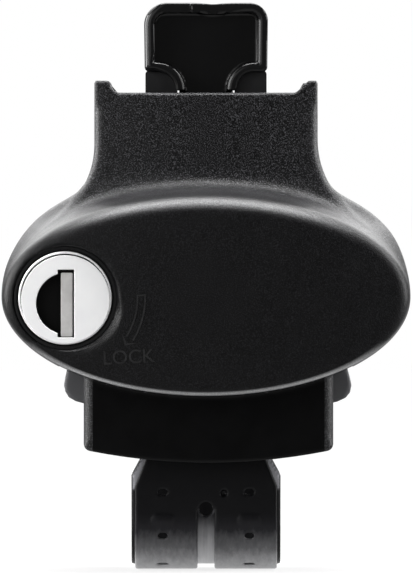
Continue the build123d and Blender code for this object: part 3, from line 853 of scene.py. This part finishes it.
def moulded(name):
    """Black moulded plastic: coarse grain on the collar, finer on the oval's face, with a painted highlight
    along the lip, the crease and the collar's edges.
    """
    material, tree, shader = new_material(name)
    where = place(tree)
    axes = axes_of(tree, where)
    coarse = remap(tree, axes["Y"], -0.0375, -0.031, 0.42, 1.0)
    grain = remap(tree, noise(tree, where, 4500.0, 1.0, 0.5), 0.36, 0.68, -0.5, 1.0)
    speck = math_node(tree, "MULTIPLY", grain, coarse)
    round_face = (1 / (FACE_HALF * MM), 0.0, 1 / (FACE_DROP * MM))
    ring = length_of(tree, scaled(tree, where, round_face, (0.0, 0.0, -OVAL_Z / FACE_DROP)))
    # A painted highlight in a thin ring along the oval's lower lip
    lip = remap(tree, ring, 0.964, 0.988, 0.0, 1.0)
    lip = math_node(tree, "MULTIPLY", lip, remap(tree, axes["Z"], 0.005, 0.013, 1.0, 0.0))
    lip = math_node(tree, "MULTIPLY", lip, remap(tree, axes["Y"], -0.036, -0.034, 1.0, 0.0))
    painted_highlight = math_node(tree, "MAXIMUM", lip, share_of(tree, "painted_highlight"))
    tones = remap(tree, speck, -0.5, 1.0, 0.0, 1.0)
    plain, painted_light = ramp(tree, tones, GRAIN_TONES), ramp(tree, tones, PAINTED_HIGHLIGHT_TONES)
    tree.links.new(mix_colour(tree, painted_highlight, plain, painted_light), shader.inputs["Base Color"])
    gloss = remap(tree, noise(tree, where, 160.0, 3.0, 0.6), 0.3, 0.7, 0.3, 0.38)
    tree.links.new(gloss, shader.inputs["Roughness"])
    sheen = remap(tree, axes["Y"], -0.0375, -0.035, 0.19, 0.32)
    sheen = math_node(tree, "MULTIPLY", sheen, remap(tree, axes["Z"], 0.04, 0.047, 1.0, 0.6))
    tree.links.new(sheen, shader.inputs["Specular IOR Level"])
    bump(tree, shader, speck, 0.3, 0.00012)
    return material


cover_plastic = moulded("cover_plastic")
# A darker, duller copy of the cover's plastic for the skirt: painted shade under the oval
skirt_shaded_plastic = simple(
    "skirt_shaded_plastic", (0.0016, 0.0016, 0.0017), (0.0024, 0.0024, 0.0026), (0.3, 0.4), 1500.0, 0.00002, 0.08
)
gloss_paint = simple(
    "gloss_paint", (0.003, 0.003, 0.0032), (0.0044, 0.0044, 0.0046), (0.1, 0.16), 700.0, 0.00002, 0.4
)
black_steel = simple(
    "black_steel", (0.006, 0.006, 0.0066), (0.011, 0.011, 0.012), (0.32, 0.45), 1200.0, 0.00004, 0.35
)
plate_paint = simple(
    "plate_paint", (0.034, 0.034, 0.037), (0.05, 0.05, 0.053), (0.5, 0.65), 1400.0, 0.00006, 0.4
)
zinc_steel = simple(
    "zinc_steel", (0.5, 0.5, 0.5), (0.62, 0.62, 0.6), (0.25, 0.4), 900.0, 0.00003, metal=1.0
)
# The lock's face: a near-white finish with no metal, a painted reflection standing in for its chrome
lock_chrome = simple(
    "lock_chrome", (0.93, 0.93, 0.94), (0.97, 0.97, 0.97), (0.3, 0.36), 1500.0, 0.00001
)
shutter_steel = simple(
    "shutter_steel", (0.5, 0.49, 0.48), (0.66, 0.65, 0.64), (0.4, 0.5), 2400.0, 0.00004, metal=0.1
)
# Near-black for the lock's slot, hollow and ring groove: painted shade standing for their depth
keyway_shade = simple(
    "keyway_shade", (0.001, 0.001, 0.001), (0.002, 0.002, 0.002), (0.5, 0.6), 900.0, 0.00002, 0.1
)
mark_plastic = simple(
    "mark_plastic", (0.005, 0.005, 0.0053), (0.018, 0.018, 0.019), (0.34, 0.42), 5200.0, 0.00003, 0.3
)
sleeve_plastic = simple(
    "sleeve_plastic", (0.004, 0.004, 0.0044), (0.006, 0.006, 0.0065), (0.3, 0.4), 900.0, 0.00003, 0.3
)
pad_rubber = simple(
    "pad_rubber", (0.074, 0.074, 0.079), (0.095, 0.095, 0.1), (0.55, 0.7), 1800.0, 0.00008, 0.4
)


def painted_bend_light(name, tones, patch, streak, metal):
    """A finish that goes from dark at the top to light round the lower bend, a painted reflection of the
    light floor below, which also raises its metallic share there.
    """
    material, tree, shader = new_material(name)
    where = place(tree)
    rolled = noise(tree, scaled(tree, where, (1.0, streak, streak)), 1100.0, 4.0, 0.65)
    height = math_node(tree, "MULTIPLY_ADD", rolled, patch, axes_of(tree, where)["Z"])
    # Painted reflection: the share of light colour grows towards the lower bend
    painted_light = remap(tree, height, -0.022 + patch / 2, -0.0325 + patch / 2, 0.0, 1.0)
    # Darker colour on the loop's edges, inside and side strips
    darkened = share_of(tree, "darkened")
    bare = ramp(tree, rolled, [(0.3, (0.32, 0.32, 0.345)), (0.7, (0.42, 0.42, 0.445))])
    darkened_tone = ramp(tree, rolled, [(0.3, (0.003, 0.003, 0.0034)), (0.7, (0.006, 0.006, 0.0066))])
    colour = mix_colour(tree, share_of(tree, "bare"), ramp(tree, painted_light, tones), bare)
    tree.links.new(mix_colour(tree, darkened, colour, darkened_tone), shader.inputs["Base Color"])
    metallic = remap(tree, painted_light, 0.2, 0.9, metal[0], metal[1])
    metallic = math_node(tree, "MULTIPLY", metallic, remap(tree, darkened, 0.0, 1.0, 1.0, 0.0))
    tree.links.new(metallic, shader.inputs["Metallic"])
    tree.links.new(remap(tree, rolled, 0.3, 0.7, 0.32, 0.44), shader.inputs["Roughness"])
    shader.inputs["Specular IOR Level"].default_value = 0.12
    bump(tree, shader, noise(tree, where, 1400.0, 3.0, 0.6), 0.3, 0.00005)
    return material


# Colours from dark at the top to light at the lower bend, painting the floor's reflection on the strap
COAT_BEND_LIGHT_TONES = [
    (0.0, (0.003, 0.003, 0.0036)),
    (0.3, (0.012, 0.012, 0.014)),
    (0.65, (0.12, 0.12, 0.125)),
    (1.0, (0.4, 0.4, 0.41)),
]
STEEL_BEND_LIGHT_TONES = [(0.0, (0.02, 0.02, 0.022)), (0.4, (0.14, 0.14, 0.145)), (1.0, (0.46, 0.46, 0.47))]
strap_steel = painted_bend_light("strap_steel", STEEL_BEND_LIGHT_TONES, 0.003, 0.12, (0.7, 0.9))
strap_coat = painted_bend_light("strap_coat", COAT_BEND_LIGHT_TONES, 0.003, 0.4, (0.0, 0.6))

finishes = {
    "cover_plastic": cover_plastic,
    "gloss_paint": gloss_paint,
    "black_steel": black_steel,
    "zinc_steel": zinc_steel,
    "lock_chrome": lock_chrome,
    "sleeve_plastic": sleeve_plastic,
    "pad_rubber": pad_rubber,
    "strap_steel": strap_steel,
    "strap_coat": strap_coat,
}


def paint(piece, material):
    piece.data.materials.clear()
    piece.data.materials.append(material)


for row in frame["record"]["subparts"]:
    paint(nodes[row["node"]], finishes[row["material_slot"]])
paint(nodes["base_plate"], plate_paint)


def paint_faces(piece, *choices):
    """Gives the faces that a test picks a finish of their own."""
    index = np.zeros(len(piece.data.polygons), np.int32)
    for material, picked in choices:
        piece.data.materials.append(material)
        index[picked] = len(piece.data.materials) - 1
    piece.data.polygons.foreach_set("material_index", index)


paint(cover, cover_plastic)
# The skirt's faces below the oval take the darker copy, a painted shade
x, y, z = face_middles(cover)
middle = np.abs(x - SKIRT_X) < SKIRT_HALF - 1.8
paint_faces(cover, (skirt_shaded_plastic, (cover_form(x, y, z) > 0.15) & (z < 8.0) & middle))
paint(tongue, gloss_paint)
paint(lock, lock_chrome)
# Faces set back behind the lock's face take the near-black painted shade
x, y, z = face_middles(lock)
paint_faces(lock, (keyway_shade, (lock_axis(x, z) < 8.9) & (y > LOCK_Y + 0.12)))
paint(loop, strap_steel)
paint(jacket, strap_coat)
paint(shutter, shutter_steel)
paint(screws, zinc_steel)
paint(pad, pad_rubber)
for mark in marks:
    paint(mark, mark_plastic)


# Floor, background, lights and camera

def background(tree, plain, mirrored):
    """The white that the camera sees, and its share in gloss and glass."""
    path = tree.nodes.new("ShaderNodeLightPath")
    either = math_node(tree, "MAXIMUM", path.outputs["Is Glossy Ray"], path.outputs["Is Transmission Ray"])
    seen = math_node(tree, "MULTIPLY", path.outputs["Is Camera Ray"], plain)
    return math_node(tree, "MAXIMUM", seen, math_node(tree, "MULTIPLY", either, mirrored))


FLOOR_REACH = 6.0
FLOOR_GAP = 0.0003
ROOM_LIGHT = 0.12

floor_z = cad_low.z - FLOOR_GAP
floor_mesh = bpy.data.meshes.new("floor")
floor_signs = ((-1, -1), (1, -1), (1, 1), (-1, 1))
floor_corners = [(a * FLOOR_REACH, b * FLOOR_REACH, floor_z) for a, b in floor_signs]
floor_mesh.from_pydata(floor_corners, [], [(0, 1, 2, 3)])
floor = bpy.data.objects.new("floor", floor_mesh)
bpy.context.scene.collection.objects.link(floor)
floor_paint, tree, shader = new_material("floor_paint")
shader.inputs["Base Color"].default_value = (0.11, 0.11, 0.11, 1.0)
shader.inputs["Roughness"].default_value = 0.9
shader.inputs["Specular IOR Level"].default_value = 0.0
away = length_of(tree, tree.nodes.new("ShaderNodeNewGeometry").outputs["Position"])
lift = background(tree, remap(tree, away, 0.08, 0.5, 0.8, 1.0), remap(tree, away, 0.05, 0.11, 0.9, 0.06))
shader.inputs["Emission Color"].default_value = (1.0, 1.0, 1.0, 1.0)
tree.links.new(lift, shader.inputs["Emission Strength"])
paint(floor, floor_paint)

world = bpy.data.worlds.new("studio")
bpy.context.scene.world = world
world.use_nodes = True
tree = world.node_tree
sky = tree.nodes["Background"]
towards_back = axes_of(tree, tree.nodes.new("ShaderNodeTexCoord").outputs["Generated"])["Y"]
shown = background(tree, 1.0, remap(tree, towards_back, -0.1, 0.5, 0.09, 0.3))
tree.links.new(math_node(tree, "MAXIMUM", shown, ROOM_LIGHT), sky.inputs["Strength"])
sky.inputs["Color"].default_value = (1.0, 1.0, 1.0, 1.0)


LAMP_AIM = Vector((0.0, 0.0, 0.03))


def softbox(name, at, size, power):
    """A soft lamp that faces the foot and that the camera doesn't see."""
    data = bpy.data.lights.new(name, "AREA")
    data.shape = "RECTANGLE"
    data.size, data.size_y = size
    data.energy = power
    lamp = bpy.data.objects.new(name, data)
    bpy.context.scene.collection.objects.link(lamp)
    lamp.visible_camera = False
    lamp.location = at
    lamp.rotation_mode = "QUATERNION"
    lamp.rotation_quaternion = (LAMP_AIM - Vector(at)).to_track_quat("-Z", "Y")


softbox("back_left", (-0.5, 0.65, 0.8), (0.8, 0.6), 7.5)
softbox("back_right", (0.5, 0.65, 0.8), (0.8, 0.6), 8.0)
softbox("side_left", (-0.8, 0.0, 0.1), (0.4, 0.8), 12.0)
softbox("side_right", (0.8, 0.0, 0.1), (0.3, 0.8), 7.5)
softbox("overhead", (0.0, 0.0, 0.9), (0.7, 0.35), 18.0)
softbox("upper_left", (-0.7, -0.05, 0.7), (0.5, 0.35), 1.5)
softbox("upper_right", (0.7, -0.05, 0.7), (0.5, 0.35), 6.0)
softbox("rim", (0.0, 1.1, 0.42), (1.6, 0.3), 3.6)
softbox("fill_left", (-0.9, -0.7, 0.35), (0.6, 0.6), 7.0)
softbox("fill_right", (0.9, -0.7, 0.35), (0.6, 0.6), 3.4)
softbox("front_left", (-0.5, -1.2, 0.2), (0.7, 0.7), 1.3)

FRAME_HEIGHT = 0.1152
CAMERA_AT = (0.0001, -2.5, 0.0234)
FRONT_Y = -0.03
SENSOR = 36.0

camera_data = bpy.data.cameras.new("camera")
camera_data.sensor_width = SENSOR
camera_data.lens = SENSOR * (FRONT_Y - CAMERA_AT[1]) / FRAME_HEIGHT
camera_data.clip_start = 0.1
camera_data.clip_end = 50.0
camera = bpy.data.objects.new("camera", camera_data)
bpy.context.scene.collection.objects.link(camera)
camera.location = CAMERA_AT
camera.rotation_euler = (math.radians(90.0), 0.0, 0.0)
bpy.context.scene.camera = camera
bpy.context.scene.view_settings.view_transform = "Standard"
